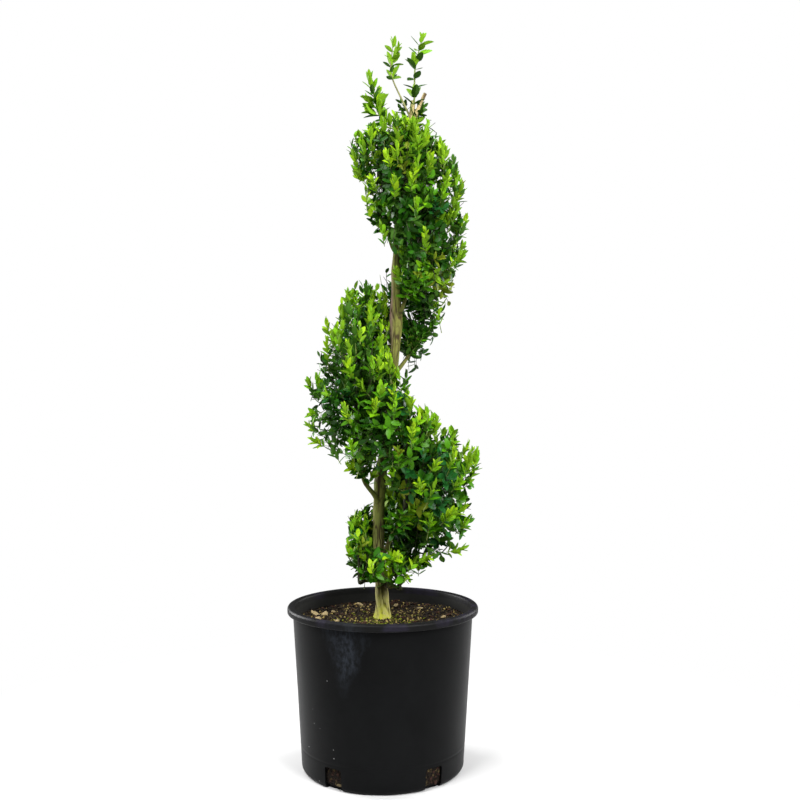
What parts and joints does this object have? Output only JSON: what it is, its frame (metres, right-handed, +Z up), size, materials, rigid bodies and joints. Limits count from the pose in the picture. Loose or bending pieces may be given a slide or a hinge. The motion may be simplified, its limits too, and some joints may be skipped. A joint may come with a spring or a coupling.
{
  "type": "potted spiral topiary",
  "caption": "Small-leaved evergreen shrub clipped to a loose spiral round its bare trunk, growing in a tapered black plastic nursery pot with drain notches at the foot.",
  "frame": {"origin": "centre of the pot's flat underside, where it stands", "axes": "+Z up along the pot's axis, -Y towards the side shown in the picture, +X to that view's right"},
  "size_m": [0.3101, 0.3, 1.1649],
  "materials": {
    "pot": "satin black polyethylene, slightly scuffed",
    "soil": "rough bark mix with pale grains",
    "bark": "rough, finely fissured bark",
    "foliage": "glossy small leaves"
  },
  "bodies": {
    "root": {"pot": "pot", "soil": "soil", "trunk": "bark", "bough_1": "bark", "bough_2": "bark", "bough_3": "bark", "bough_4": "bark", "bough_5": "bark", "bough_6": "bark", "bough_7": "bark", "bough_8": "bark", "bough_9": "bark", "bough_10": "bark", "bough_11": "bark", "bough_12": "bark", "foliage_1": "foliage", "foliage_2": "foliage", "foliage_3": "foliage", "foliage_4": "foliage", "foliage_5": "foliage", "foliage_6": "foliage", "foliage_7": "foliage", "foliage_8": "foliage", "foliage_9": "foliage", "foliage_10": "foliage", "foliage_11": "foliage", "foliage_12": "foliage", "sprig_right": "foliage", "sprig_middle": "foliage", "sprig_left": "foliage"}
  },
  "joints": []
}
